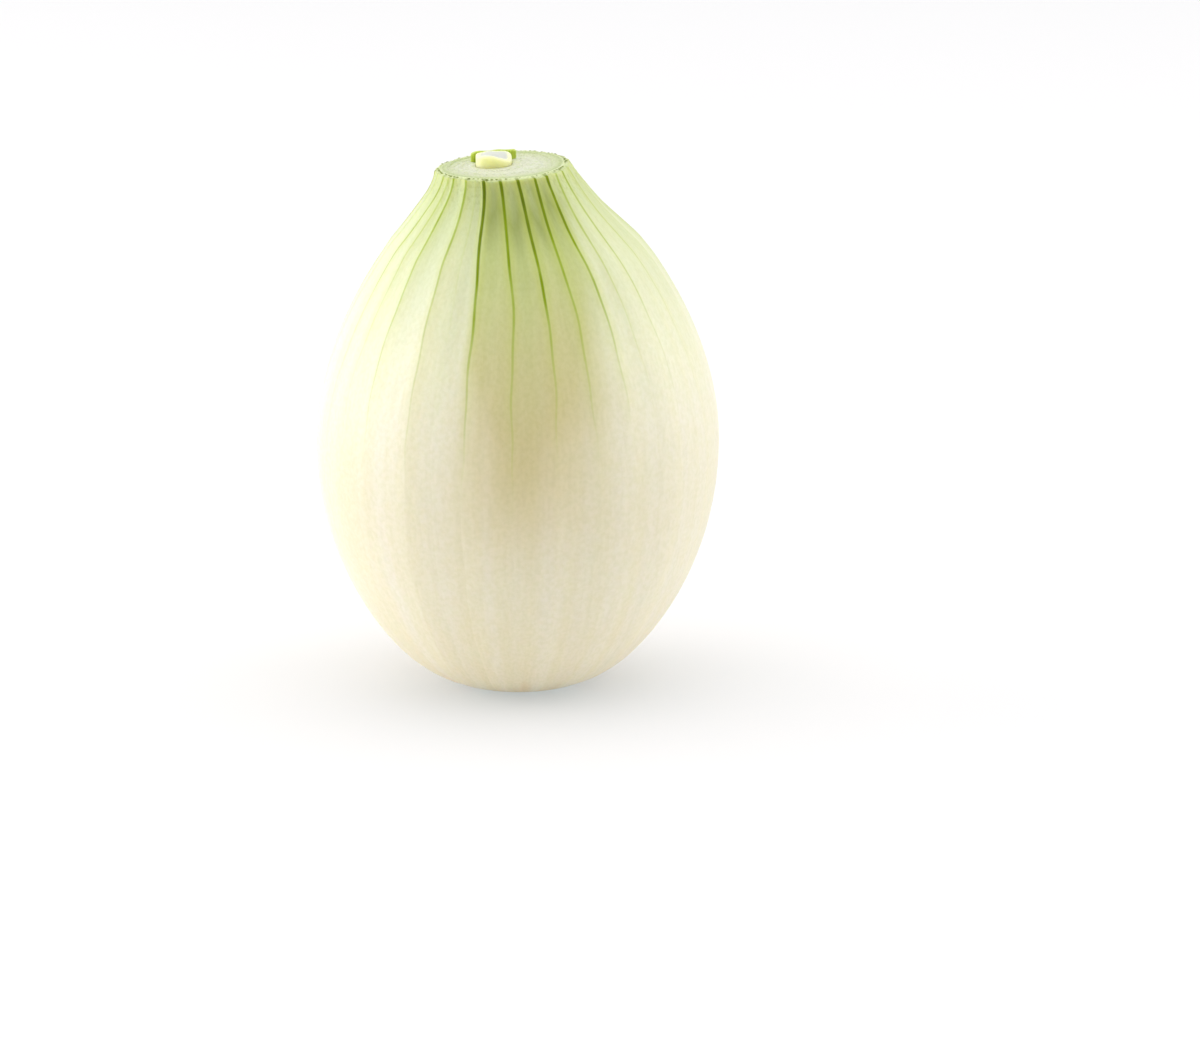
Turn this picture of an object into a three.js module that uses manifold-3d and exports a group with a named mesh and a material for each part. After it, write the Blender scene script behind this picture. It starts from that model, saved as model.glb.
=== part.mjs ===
// A bulb spring onion, trimmed for sale: the root is cut off flat, so that it stands, and the neck is cut
// across just above the shoulder. Two short stubs of its inner leaves stand proud of the neck cut.
// Millimetres, +Z up. The origin is the centre of the flat root cut that it stands on, and the front is -Y.
import * as THREE from "three";
import { mergeVertices } from "three/addons/utils/BufferGeometryUtils.js";
import Module from "manifold-3d";

const wasm = await Module();
wasm.setup();

// ---- Driving dimensions ------------------------------------------------------------------------------

const BULB_RADIUS = 30; // at the widest girth
const GIRTH_HEIGHT = 36.1; // where the widest girth lies
const CUT_HEIGHT = 78; // neck cut, on the neck's own axis
const CUT_RADIUS = 9.95;
const SHEATH = { width: 0.9, drop: 0.3 }; // the outermost leaf's cut edge slopes down to the skin
const CUT_TILT = THREE.MathUtils.degToRad(3.2); // the knife ran a little low on the left
const ROOT_FLAT_RADIUS = 9; // the flat that it stands on
const NECK_LEAN = 2.2; // the neck's top stands this far to the left of the bulb's axis
const LEAN_START = 64; // above this height the neck leans
const TILT_START = 71; // above this height the skin follows the tilted cut

const VEIN_FLATNESS = 0.75; // 0 is a round girth, 1 is flat from each vein to the next
const COLUMNS_PER_VEIN = 3;

// Inner leaves, in the plane of the cut: x to the right and y to the back of the neck's axis. A squareness of
// 2 is an ellipse, and more is a fuller oval.
const PALE = { centre: [-1.25, 0.85], halfWidth: 2.65, halfDepth: 2.8, squareness: 2.5 };
const PALE_FRONT_HEIGHT = 1.8; // above the cut
const PALE_BACK_HEIGHT = 1.4;
const GREEN = { centre: [-1.2, 1.3], halfWidth: 3.15, halfDepth: 2.7, squareness: 4 }; // inside of its wall
const GREEN_WALL = 0.65;
const GREEN_HEIGHT = 1.5;
const GREEN_ARC = [38, 156].map(THREE.MathUtils.degToRad); // from right, round the back, to left
const STUB_DEPTH = 2.7; // how far a stub reaches down into the neck
const GAP = 0.3; // between pieces that touch

// ---- Veins -------------------------------------------------------------------------------------------

// Bearings of the veins in degrees, from the front round to the right. The front ones are this onion's own,
// and those behind are spaced like them.
const FRONT_VEINS = [-87.5, -73, -63, -53, -36, -26.5, -16, -2, 11.5, 23, 34.5, 45, 56, 70, 83];
const BACK_VEINS = 15;

function veinBearings() {
  const first = FRONT_VEINS[0];
  const last = FRONT_VEINS[FRONT_VEINS.length - 1];
  const step = (360 + first - last) / (BACK_VEINS + 1);
  const back = [];
  for (let k = 1; k <= BACK_VEINS; k++) {
    back.push(last + k * step + 1.6 * Math.sin(2.4 * k));
  }
  return [...FRONT_VEINS, ...back].map(THREE.MathUtils.degToRad);
}

// Columns of the skin: each starts at a bearing and draws in between veins, where the skin is flatter.
function skinColumns() {
  const veins = veinBearings();
  const columns = [];
  veins.forEach((start, i) => {
    const end = i + 1 < veins.length ? veins[i + 1] : veins[0] + 2 * Math.PI;
    const half = (end - start) / 2;
    for (let k = 0; k < COLUMNS_PER_VEIN; k++) {
      const bearing = start + ((end - start) * k) / COLUMNS_PER_VEIN;
      const chord = Math.cos(half) / Math.cos(bearing - start - half);
      columns.push({ bearing, draw: 1 - VEIN_FLATNESS * (1 - chord) });
    }
  });
  return columns;
}

// ---- The bulb ----------------------------------------------------------------------------------------

// The outline from the root flat to the neck cut, as (radius, height).
function bulbOutline() {
  const at = (r, z) => new THREE.Vector2(r, z);
  const foot = at(11.2, 0.6);
  const girth = at(BULB_RADIUS, GIRTH_HEIGHT);
  const shoulder = at(18.9, 66.2);
  const rim = at(CUT_RADIUS, CUT_HEIGHT - SHEATH.drop);
  const runs = [
    [new THREE.QuadraticBezierCurve(at(ROOT_FLAT_RADIUS, 0), at(10.3, 0), foot), 3],
    [new THREE.CubicBezierCurve(foot, at(19.9, 3.4), at(BULB_RADIUS, 19), girth), 14],
    [new THREE.CubicBezierCurve(girth, at(BULB_RADIUS, 48.8), at(23.2, 60.4), shoulder), 11],
    [new THREE.CubicBezierCurve(shoulder, at(17.8, 67.7), at(11.4, 73.7), rim), 7],
  ];
  const points = [runs[0][0].getPoint(0)];
  for (const [curve, steps] of runs) {
    for (let k = 1; k <= steps; k++) {
      points.push(curve.getPoint(k / steps));
    }
  }
  points.push(at(CUT_RADIUS - SHEATH.width, CUT_HEIGHT));
  return points;
}

// One ring of the skin. Near the top it moves to the left with the neck and tips with the cut.
function skinRing(radius, height, columns) {
  const lean = NECK_LEAN * Math.max(0, (height - LEAN_START) / (CUT_HEIGHT - LEAN_START)) ** 1.5;
  const slope = Math.tan(CUT_TILT) * THREE.MathUtils.smoothstep(height, TILT_START, CUT_HEIGHT);
  return columns.map(({ bearing, draw }) => {
    const x = radius * draw * Math.sin(bearing);
    const y = -radius * draw * Math.cos(bearing);
    return new THREE.Vector3(x - lean, y, height + slope * x);
  });
}

// A closed solid through a stack of rings, from the lowest up, each with the same number of points.
function solidThroughRings(rings, lowest, highest) {
  const count = rings[0].length;
  const positions = [];
  const triangle = (...corners) => corners.forEach((p) => positions.push(p.x, p.y, p.z));
  for (let c = 0; c < count; c++) {
    const next = (c + 1) % count;
    triangle(lowest, rings[0][next], rings[0][c]);
    for (let k = 0; k + 1 < rings.length; k++) {
      const [below, above] = [rings[k], rings[k + 1]];
      triangle(below[c], below[next], above[next]);
      triangle(below[c], above[next], above[c]);
    }
    const top = rings[rings.length - 1];
    triangle(highest, top[c], top[next]);
  }
  const geometry = new THREE.BufferGeometry();
  geometry.setAttribute("position", new THREE.Float32BufferAttribute(positions, 3));
  return geometry;
}

function bulbGeometry() {
  const columns = skinColumns();
  const rings = bulbOutline().map((p) => skinRing(p.x, p.y, columns));
  return solidThroughRings(rings, new THREE.Vector3(0, 0, 0), new THREE.Vector3(-NECK_LEAN, 0, CUT_HEIGHT));
}

// ---- The leaf stubs, in the plane of the neck cut ----------------------------------------------------

// A point of a full oval. "grown" widens it all round.
function ovalPoint({ centre, halfWidth, halfDepth, squareness }, angle, grown) {
  const full = (share) => Math.sign(share) * Math.abs(share) ** (2 / squareness);
  return new THREE.Vector2(
    centre[0] + (halfWidth + grown) * full(Math.cos(angle)),
    centre[1] + (halfDepth + grown) * full(Math.sin(angle)),
  );
}

// The pale leaf is solid. Its top slopes from "front" height to "back" height.
function paleStubGeometry(grown, below, front, back) {
  const steps = 36;
  const [x, y] = PALE.centre;
  const top = (depth) => THREE.MathUtils.mapLinear(depth, y - PALE.halfDepth, y + PALE.halfDepth, front, back);
  const ring = (height) =>
    Array.from({ length: steps }, (_, k) => {
      const p = ovalPoint(PALE, (2 * Math.PI * k) / steps, grown);
      return new THREE.Vector3(p.x, p.y, height(p.y));
    });
  const rings = [ring(() => -below), ring(top)];
  return solidThroughRings(rings, new THREE.Vector3(x, y, -below), new THREE.Vector3(x, y, top(y)));
}

// The green leaf is a thin wall that wraps round the back of the pale one.
function greenWallGeometry(grown, below, above) {
  const steps = 20;
  const [from, to] = GREEN_ARC;
  const spread = grown / GREEN.halfWidth; // as an angle, past each end
  const arc = (inset, start, end) =>
    Array.from({ length: steps + 1 }, (_, k) => ovalPoint(GREEN, start + ((end - start) * k) / steps, inset));
  const outer = arc(GREEN_WALL + grown, from - spread, to + spread);
  const inner = arc(-grown, to + spread, from - spread);
  const geometry = new THREE.ExtrudeGeometry(new THREE.Shape([...outer, ...inner]), {
    depth: below + above,
    bevelEnabled: false,
  });
  return geometry.translate(0, 0, -below);
}

// ---- Joining and cutting -----------------------------------------------------------------------------

function toSolid(geometry) {
  const bare = geometry.clone();
  bare.deleteAttribute("normal");
  bare.deleteAttribute("uv");
  const merged = mergeVertices(bare, 1e-4);
  return new wasm.Manifold(
    new wasm.Mesh({
      numProp: 3,
      vertProperties: merged.attributes.position.array,
      triVerts: new Uint32Array(merged.index.array),
    }),
  );
}

function toGeometry(solid) {
  const { vertProperties, triVerts } = solid.getMesh();
  const geometry = new THREE.BufferGeometry();
  geometry.setAttribute("position", new THREE.BufferAttribute(vertProperties, 3));
  geometry.setIndex(new THREE.BufferAttribute(triVerts, 1));
  geometry.computeVertexNormals();
  return geometry;
}

function finish(color, roughness) {
  return new THREE.MeshStandardMaterial({ color, roughness, metalness: 0 });
}

// ---- The scene graph ---------------------------------------------------------------------------------

const springOnion = new THREE.Group();

// The neck's own frame: its origin is the centre of the cut, and its +Z points out of the cut.
const neck = new THREE.Group();
neck.position.set(-NECK_LEAN, 0, CUT_HEIGHT);
neck.rotation.y = -CUT_TILT;
neck.updateMatrix();
springOnion.add(neck);

const paleShape = paleStubGeometry(0, STUB_DEPTH, PALE_FRONT_HEIGHT, PALE_BACK_HEIGHT);
const paleStub = new THREE.Mesh(paleShape, finish("#e6ec9a", 0.45));
paleStub.name = "pale_inner_leaf";
neck.add(paleStub);

const greenShape = greenWallGeometry(0, STUB_DEPTH, GREEN_HEIGHT);
const greenStub = new THREE.Mesh(greenShape, finish("#8fb433", 0.45));
greenStub.name = "green_inner_leaf";
neck.add(greenStub);

// The mouth in the neck that the stubs grow out of, a gap wider and deeper than they are.
const mouthDepth = STUB_DEPTH + GAP;
const paleMouth = paleStubGeometry(GAP, mouthDepth, PALE_FRONT_HEIGHT, PALE_FRONT_HEIGHT);
const greenMouth = greenWallGeometry(GAP, mouthDepth, GREEN_HEIGHT);
const mouth = toSolid(paleMouth.applyMatrix4(neck.matrix)).add(toSolid(greenMouth.applyMatrix4(neck.matrix)));

const bulb = new THREE.Mesh(toGeometry(toSolid(bulbGeometry()).subtract(mouth)), finish("#f1ecd0", 0.5));
bulb.name = "bulb";
springOnion.add(bulb);

export default springOnion;
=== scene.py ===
# %% [markdown]
# # A trimmed spring onion bulb
# A bulb spring onion is a short stem, the root plate, with thick leaf bases wrapped round it. For sale the
# roots are cut off flat and the green leaves are cut across above the shoulder. What is left is a pale,
# glossy bulb with fine green veins, a round cut where every leaf shows as a ring, and the stubs of the two
# youngest leaves. This file builds each of those as a closed mesh, in millimetres, and places it in metres.

# %% Load the frame
import math

import bpy
import numpy as np
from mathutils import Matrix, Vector


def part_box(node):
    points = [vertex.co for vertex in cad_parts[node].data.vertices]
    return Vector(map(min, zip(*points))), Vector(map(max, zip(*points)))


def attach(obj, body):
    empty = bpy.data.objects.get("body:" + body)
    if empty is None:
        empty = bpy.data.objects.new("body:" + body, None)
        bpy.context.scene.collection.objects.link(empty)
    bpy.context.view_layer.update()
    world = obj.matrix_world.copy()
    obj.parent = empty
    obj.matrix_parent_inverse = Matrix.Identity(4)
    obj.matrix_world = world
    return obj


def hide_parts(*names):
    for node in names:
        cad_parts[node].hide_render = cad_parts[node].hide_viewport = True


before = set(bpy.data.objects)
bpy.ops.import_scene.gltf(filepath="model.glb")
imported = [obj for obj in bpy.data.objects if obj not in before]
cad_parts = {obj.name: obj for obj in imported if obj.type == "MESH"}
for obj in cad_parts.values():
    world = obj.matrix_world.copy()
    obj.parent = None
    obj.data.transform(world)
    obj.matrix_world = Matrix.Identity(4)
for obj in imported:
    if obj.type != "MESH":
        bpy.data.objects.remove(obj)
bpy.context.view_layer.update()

# %% [markdown]
# ## Helpers
# Four helpers serve the whole file. The first turns a hex colour, which is how a paint chart or a screen
# gives it, into the linear values that shaders work in. The second adds a node: its settings go on the node,
# and each input gets a value or a link, given by name or in order. Inputs that the settings switch off don't
# count. The third turns rows of points into a mesh object and hangs named values on its vertices, so that a
# shader can draw a pattern exactly where the shape has it. The last is an S-shaped step from 0 to 1. A
# pattern's scale is the number of its grains in a millimetre, over MM where its coordinates are metres.

# %% Helpers
MM = 0.001
rng = np.random.default_rng(11)


def linear(hex_colour):
    channels = [int(hex_colour[k:k + 2], 16) / 255 for k in (1, 3, 5)]
    return (*[c / 12.92 if c <= 0.04045 else ((c + 0.055) / 1.055) ** 2.4 for c in channels], 1.0)


def add(tree, kind, sockets=(), stops=(), **settings):
    made = tree.nodes.new(kind)
    for name, value in settings.items():
        setattr(made, name, value)
    used = [socket for socket in made.inputs if socket.enabled]
    for key, value in sockets.items() if isinstance(sockets, dict) else enumerate(sockets):
        socket = used[key] if isinstance(key, int) else next(s for s in used if s.name == key)
        if isinstance(value, bpy.types.Node):
            value = next(output for output in value.outputs if output.enabled)
        if isinstance(value, bpy.types.NodeSocket):
            tree.links.new(value, socket)
        else:
            socket.default_value = value
    for k, (position, colour) in enumerate(stops):
        elements = made.color_ramp.elements
        element = elements[k] if k < len(elements) else elements.new(1)
        element.position = position
        element.color = linear(colour)
    return made


def make_object(name, points, faces, values, materials=()):
    mesh = bpy.data.meshes.new(name)
    mesh.from_pydata((np.asarray(points) * MM).tolist(), [], faces)
    for key, data in values.items():
        data = np.asarray(data, dtype=np.float32)
        kind, field = ("FLOAT_VECTOR", "vector") if data.ndim == 2 else ("FLOAT", "value")
        mesh.attributes.new(key, kind, "POINT").data.foreach_set(field, data.ravel())
    for material in materials:
        mesh.materials.append(material)
    mesh.polygons.foreach_set("use_smooth", [True] * len(mesh.polygons))
    mesh.validate()
    made = bpy.data.objects.new(name, mesh)
    bpy.context.scene.collection.objects.link(made)
    return made


def smooth(low, high, value):
    t = np.clip((np.asarray(value, dtype=float) - low) / (high - low), 0, 1)
    return t * t * (3 - 2 * t)


print("pure white in linear light:", linear("#FFFFFF"))

# %% [markdown]
# ## The driving sizes
# These are the sizes the solid model was made to, so that the detailed pieces lie exactly in its box. The
# neck leans 2.2 mm to the left of the bulb's axis, and the knife ran 3.2 degrees off level.

# %% Driving sizes
BULB_RADIUS = 30.0
GIRTH_HEIGHT = 36.1
CUT_HEIGHT = 78.0
CUT_RADIUS = 9.95
CUT_TILT = math.radians(3.2)
CUT_TWIST = 0.045  # the cut tips more at its back, by this share for each mm from the middle
ROOT_FLAT_RADIUS = 9.0
NECK_LEAN = 2.2
LEAN_START = 64.0
TILT_START = 71.0
SHEATH_WIDTH = 0.9
SHEATH_DROP = 0.3
DRIED_REACH, RAGGED_REACH = 7.0, 2.5  # mm of skin under the cut that is drying, and that is ragged
VEIN_FLATNESS = 0.75  # 0 is a round girth, 1 is flat from each vein to the next
GIRTH_FLATNESS = 0.3

bulb_low, bulb_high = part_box("bulb")
print("girth from the frame, mm:", round((bulb_high.x - bulb_low.x) / MM, 2), "planned:", 2 * BULB_RADIUS)

# %% [markdown]
# ## Veins
# Each leaf base carries parallel veins that run from the neck to the root plate. They crowd together at the
# neck, where they are green, and fade into the white of the bulb at about half height. A leaf is slightly
# flat between two veins, so the bulb is a soft many-sided form and not a round one. Each front vein is
# listed by its bearing on the belly and at the cut (degrees from the front towards the right), the strength
# of its green and the height where it fades out. The back ones follow the same spacing with seeded strengths.

# %% Veins
FRONT_VEINS = [
    (-84, -74, 0.32, 40), (-70, -59, 0.50, 36), (-59.5, -52, 0.36, 34), (-49, -45, 0.55, 32),
    (-32.8, -31.5, 0.52, 32), (-24, -22.5, 0.12, 40), (-15, -15, 1.00, 32), (-0.8, -1, 0.80, 30),
    (12, 14.5, 1.00, 37), (23.2, 29, 0.80, 37), (34.8, 42, 0.88, 41), (44, 53, 0.48, 46),
    (54.5, 63, 0.50, 42), (68, 77, 0.34, 42), (82, 91, 0.22, 44),
]
BACK_VEINS = 15

vein_rows = [list(row) for row in FRONT_VEINS]
(first_belly, first_cut), (last_belly, last_cut) = FRONT_VEINS[0][:2], FRONT_VEINS[-1][:2]
for k in range(1, BACK_VEINS + 1):
    share = k / (BACK_VEINS + 1)
    sway = 1.6 * math.sin(2.4 * k)
    belly = last_belly + (360 + first_belly - last_belly) * share + sway
    at_cut = last_cut + (360 + first_cut - last_cut) * share + sway
    vein_rows.append([belly, at_cut, rng.uniform(0.35, 0.95), rng.uniform(36, 46)])
vein_belly, vein_cut, vein_strength, vein_end = np.array(vein_rows).T
VEINS = len(vein_belly)
print(VEINS, "veins, closest", round(float(np.diff(vein_belly).min()), 1), "degrees apart")

# %% [markdown]
# A vein doesn't run quite straight: it wanders by a fraction of a millimetre as the leaf grew. A sum of a few
# sines with seeded phases gives each vein its own path, and a strip between two veins follows both. The neck
# leans to the left under the veins, so each drifts from its belly bearing to its bearing at the cut. The mesh
# has twelve columns from one vein to the next, closer together beside the veins, to keep their crease crisp.

# %% Columns of the mesh
COLUMNS_PER_STRIP = 12
WANDER = [(0.3, 43.0), (0.22, 19.0), (0.14, 8.5)]  # degrees, and mm from one bend to the next
SHOULDER_BEND = 1.8  # degrees that the front veins bend to the left where the neck begins
wander_phase = rng.uniform(0, 2 * math.pi, (VEINS, len(WANDER)))


def vein_paths(height):
    """Bearing of every vein at a height, in degrees."""
    near_cut = max(0.0, (height - LEAN_START) / (CUT_HEIGHT - LEAN_START)) ** 2
    wandered = vein_belly + (vein_cut - vein_belly) * near_cut
    for k, (size, length) in enumerate(WANDER):
        wandered += size * np.sin(2 * math.pi * height / length + wander_phase[:, k])
    wandered -= SHOULDER_BEND * math.exp(-(((height - 69) / 6.5) ** 2)) * np.cos(np.radians(vein_belly))
    return wandered


step = np.arange(COLUMNS_PER_STRIP) / COLUMNS_PER_STRIP
strip_share = 0.45 * step + 0.55 * (0.5 - 0.5 * np.cos(math.pi * step))
column_vein = np.repeat(np.arange(VEINS), COLUMNS_PER_STRIP)
column_share = np.tile(strip_share, VEINS)
COLUMNS = len(column_vein)
strip_hollow = rng.uniform(0.0, 0.16, VEINS)[column_vein]
left_tone, right_tone = rng.uniform(0, 1, (2, VEINS))[:, column_vein]
strip_tone = left_tone + (right_tone - left_tone) * column_share
ragged_edge = rng.uniform(-0.13, 0.13, VEINS)[column_vein] * np.sin(math.pi * column_share) ** 0.7


def columns_at(height):
    """Bearing, draw-in and strip width (radians) of each column at a height."""
    paths = np.radians(vein_paths(height))
    following = np.roll(paths, -1)
    following[-1] += 2 * math.pi
    width = (following - paths)[column_vein]
    bearing = paths[column_vein] + width * column_share
    chord = np.cos(width / 2) / np.cos(width * (column_share - 0.5))
    flatness = GIRTH_FLATNESS + (VEIN_FLATNESS - GIRTH_FLATNESS) * float(smooth(45, 68, height))
    return bearing, 1 - flatness * (1 - chord), width


print(COLUMNS, "columns")

# %% [markdown]
# ## The outline
# The side of the bulb is one curve from the root cut to the neck cut: a short round foot, a full belly, a
# long shoulder and a hollow neck. Four Bezier runs draw it as they do in the solid model. The rows of the
# mesh are spaced along its length, closer at the neck, where the skin is wrinkled, and at the foot.

# %% Outline rows
def bezier(controls, count):
    t = np.linspace(0, 1, count)[:, None]
    points = [np.array(c, dtype=float) for c in controls]
    levels = [p[None, :] + 0 * t for p in points]
    while len(levels) > 1:
        levels = [a * (1 - t) + b * t for a, b in zip(levels, levels[1:])]
    return levels[0]


rim_height = CUT_HEIGHT - SHEATH_DROP
FOOT, GIRTH, SHOULDER, RIM = (11.2, 0.6), (BULB_RADIUS, GIRTH_HEIGHT), (18.9, 66.2), (CUT_RADIUS, rim_height)
fine_outline = np.vstack([
    bezier([(ROOT_FLAT_RADIUS, 0), (10.3, 0), FOOT], 40),
    bezier([FOOT, (19.9, 3.4), (BULB_RADIUS, 19), GIRTH], 200)[1:],
    bezier([GIRTH, (BULB_RADIUS, 48.8), (23.2, 60.4), SHOULDER], 160)[1:],
    bezier([SHOULDER, (17.8, 67.7), (11.4, 73.7), RIM], 100)[1:],
])
run = np.concatenate([[0], np.cumsum(np.linalg.norm(np.diff(fine_outline, axis=0), axis=1))])
row_density = 1 / 0.8 + smooth(run[-1] - 16, run[-1] - 3, run) / 0.45 + (1 - smooth(0, 6, run)) / 0.8
row_count = np.concatenate([[0], np.cumsum(np.diff(run) * row_density[1:])])
SIDE_ROWS = int(row_count[-1])
row_run = np.interp(np.linspace(0, row_count[-1], SIDE_ROWS + 1), row_count, run)
side_rows = np.column_stack([np.interp(row_run, run, fine_outline[:, k]) for k in (0, 1)])
print(SIDE_ROWS, "rows over", round(run[-1], 1), "mm of skin")

# %% [markdown]
# ## One closed bulb
# The bulb grew as one piece, so it is one closed mesh: a single stack of rings that starts at the middle of
# the root plate, turns up round the foot, climbs the side, crosses the cut face and goes down into the mouth
# that the inner leaves stand in. Every ring has the same columns, so the whole stack is joined by one rule.
# Values recorded on the way tell the shaders how far each point is from a vein and which surface it is on.

# %% Rings of the bulb
SKIN, FLESH, ROOT = 0, 1, 2
NO_VEIN_MM = 9.0  # farther from a vein than its halo reaches
# The green patch in front is partly the skin's own green flush and partly painted shade, where the front
# faces the dim opening of the tent. From the belly up: height, bearing of its left edge and half the width
# over which that edge fades, then the same for its right edge. Above the shoulder its left edge is a vein.
FRONT_FLUSH_AND_SHADE = np.array([
    (30, -11, 14, 14, 16), (42, -11, 13, 18, 17), (48, -13, 8, 25, 14), (54, -15.5, 3.5, 27, 9),
    (60, -16, 1.6, 30, 7), (68, -16, 1.6, 35, 6), (74, -15.2, 1.6, 42, 7),
]).T
BACK_FLUSHES = [(100, 140, 0.75), (-162, -120, 0.6)]  # left and right edge, and strength
rings, ring_values = [], []


def add_ring(points, region, bearing, run_mm, vein_mm=NO_VEIN_MM, ink=0.0, rim=0.0, depth=0.0, front_shade_and_flush=0.0):
    """Keep a ring of points, with the values that the shaders and the relief read at each."""
    count = len(points)
    grain = np.column_stack([30 * np.sin(bearing), -30 * np.cos(bearing), np.full(count, run_mm)])
    rings.append(points)
    kept = {"region": region, "vein_mm": vein_mm, "vein_ink": ink, "rim": rim, "leaf_mm": depth,
            "flush_and_front_shade": front_shade_and_flush, "panel": strip_tone}
    kept = {key: np.broadcast_to(value, count) for key, value in kept.items()}
    ring_values.append({**kept, "grain": grain})


def flush_and_front_shade(bearing, height):
    """How far (0 to 1) each bearing is flushed green or yellow at a height; in front this is partly painted
    shade.
    """
    degrees = (np.degrees(bearing) + 180) % 360 - 180
    left, left_fade, right, right_fade = (np.interp(height, FRONT_FLUSH_AND_SHADE[0], row) for row in FRONT_FLUSH_AND_SHADE[1:])
    total = smooth(left - left_fade, left + left_fade, degrees)
    total *= 1 - smooth(right - right_fade, right + right_fade, degrees)
    for left, right, strength in BACK_FLUSHES:
        patch = smooth(left - 12, left + 12, degrees) * (1 - smooth(right - 14, right + 14, degrees))
        total = np.maximum(total, strength * patch)
    return total * float(smooth(20, 41, height))


def lean_and_tilt(radius, bearing, height):
    """A ring of the skin. Near the top it moves left with the neck and tips with the cut."""
    lean = NECK_LEAN * max(0.0, (height - LEAN_START) / (CUT_HEIGHT - LEAN_START)) ** 1.5
    slope = math.tan(CUT_TILT) * float(smooth(TILT_START, CUT_HEIGHT, height))
    x, y = radius * np.sin(bearing), -radius * np.cos(bearing)
    return np.column_stack([x - lean, y, height + slope * x * (1 + CUT_TWIST * y)])


# The underside: a shallow dish, the root plate, inside the rim that the bulb stands on.
PLATE_DEPTH, PLATE_RADIUS, PLATE_EDGE = 0.9, 7.0, 8.9
for radius in np.linspace(0.4, ROOT_FLAT_RADIUS - 0.15, 16):
    bearing, draw, width = columns_at(0)
    dish = PLATE_DEPTH * (1 - float(smooth(PLATE_RADIUS, PLATE_EDGE, radius)))
    dimple = 0.12 * dish * np.sin(9 * bearing + radius) * np.sin(2.1 * radius)
    points = lean_and_tilt(radius * draw, bearing, 0)
    points[:, 2] = np.maximum(dish + dimple, 0)
    add_ring(points, ROOT, bearing, -radius)

# The side. Two slow lobes keep the girth from being quite round. A leaf sinks a little between its veins,
# least on the belly, and its cut edge isn't quite level.
for (radius, height), run_mm in zip(side_rows, row_run):
    bearing, draw, width = columns_at(height)
    lobes = 0.0022 * np.sin(2 * bearing + 0.9) + 0.0018 * np.sin(3 * bearing + height / 25)
    hollow = strip_hollow * np.sin(math.pi * column_share) ** 2 * float(smooth(0, 12, height))
    hollow = hollow * (0.2 + 0.8 * float(smooth(40, 66, height)))
    across = np.minimum(column_share, 1 - column_share) * width * radius
    nearest = np.where(column_share <= 0.5, column_vein, (column_vein + 1) % VEINS)
    fade = np.clip((height - vein_end[nearest]) / (CUT_HEIGHT - 1 - vein_end[nearest]), 0, 1) ** 1.5
    rim = float(smooth(run[-1] - DRIED_REACH, run[-1], run_mm))
    points = lean_and_tilt(radius * draw * (1 + lobes) - hollow, bearing, height)
    points[:, 2] += ragged_edge * float(smooth(run[-1] - RAGGED_REACH, run[-1], run_mm))
    ink = vein_strength[nearest] * fade
    add_ring(points, SKIN, bearing, run_mm, across, ink, rim, front_shade_and_flush=flush_and_front_shade(bearing, height))
print(len(rings), "rings up to the neck")

# %% [markdown]
# The cut face is a section through every leaf. The outermost leaf ends in a narrow sloping edge. Inside it
# the leaves lie round one another, so the knife left faint rings with a fine groove from one leaf to the
# next, and each leaf stands a hair higher or lower than its neighbour. The rings of the mesh change from the
# round of the neck at the rim to the oval of the inner leaves at the middle, as the leaves do.

# %% Cut face and mouth
PALE = {"centre": (-1.25, 0.85), "half_width": 2.65, "half_depth": 2.8, "squareness": 2.5}
GREEN = {"centre": (-1.2, 1.3), "half_width": 3.15, "half_depth": 2.7, "squareness": 4}
GREEN_WALL = 0.65
GREEN_FROM, GREEN_TO = math.radians(38), math.radians(156)  # from the right, round the back, to the left
MOUTH_GAP, MOUTH_DEPTH = 0.08, 1.4  # between the mouth and the leaves in it, and down from the cut
CUT_RINGS = 46
LEAF_STEPS = [(0.0, 0.0), (0.2, -0.10), (0.42, -0.02), (0.62, -0.12), (0.8, 0.02)]  # share inwards, height


def oval(sizes, angle, grown):
    """Points of a full oval in the plane of the cut. The angle runs from the right round the back."""
    around = np.column_stack([np.cos(angle), np.sin(angle)])
    reach = np.array([sizes["half_width"], sizes["half_depth"]]) + np.reshape(grown, (-1, 1))
    return sizes["centre"] + reach * np.sign(around) * np.abs(around) ** (2 / sizes["squareness"])


def mouth_outline(bearing, grown):
    """The line round both inner leaves: the pale one in front, and the green wall that wraps its back."""
    angle = bearing - math.pi / 2
    turned = (angle + math.pi / 2) % (2 * math.pi) - math.pi / 2
    wall = smooth(GREEN_FROM + 0.02, GREEN_FROM + 0.1, turned)
    wall *= 1 - smooth(GREEN_TO - 0.1, GREEN_TO - 0.02, turned)
    pale_line, green_line = oval(PALE, angle, grown), oval(GREEN, angle, GREEN_WALL + grown)
    return pale_line + (green_line - pale_line) * wall[:, None]


def on_cut(flat, height):
    """Points of the cut plane, (x, y) round the neck's axis, raised by a height."""
    x, y = flat[:, 0], flat[:, 1]
    z = CUT_HEIGHT + height + math.tan(CUT_TILT) * x * (1 + CUT_TWIST * y)
    return np.column_stack([x - NECK_LEAN, y, z])


bearing, draw, width = columns_at(rim_height)
rim_radius = CUT_RADIUS * draw
for share in (0.12, 0.3, 0.5, 0.7, 0.88, 1.0):
    radius = rim_radius - SHEATH_WIDTH * share
    flat = np.column_stack([radius * np.sin(bearing), -radius * np.cos(bearing)])
    rise = -SHEATH_DROP * (1 - share) ** 1.6 + ragged_edge * (1 - share)
    ink = vein_strength[nearest] * (1 - 0.8 * share)
    add_ring(on_cut(flat, rise), FLESH, bearing, run[-1] + share, across, ink, 1, SHEATH_WIDTH * share)

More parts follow.
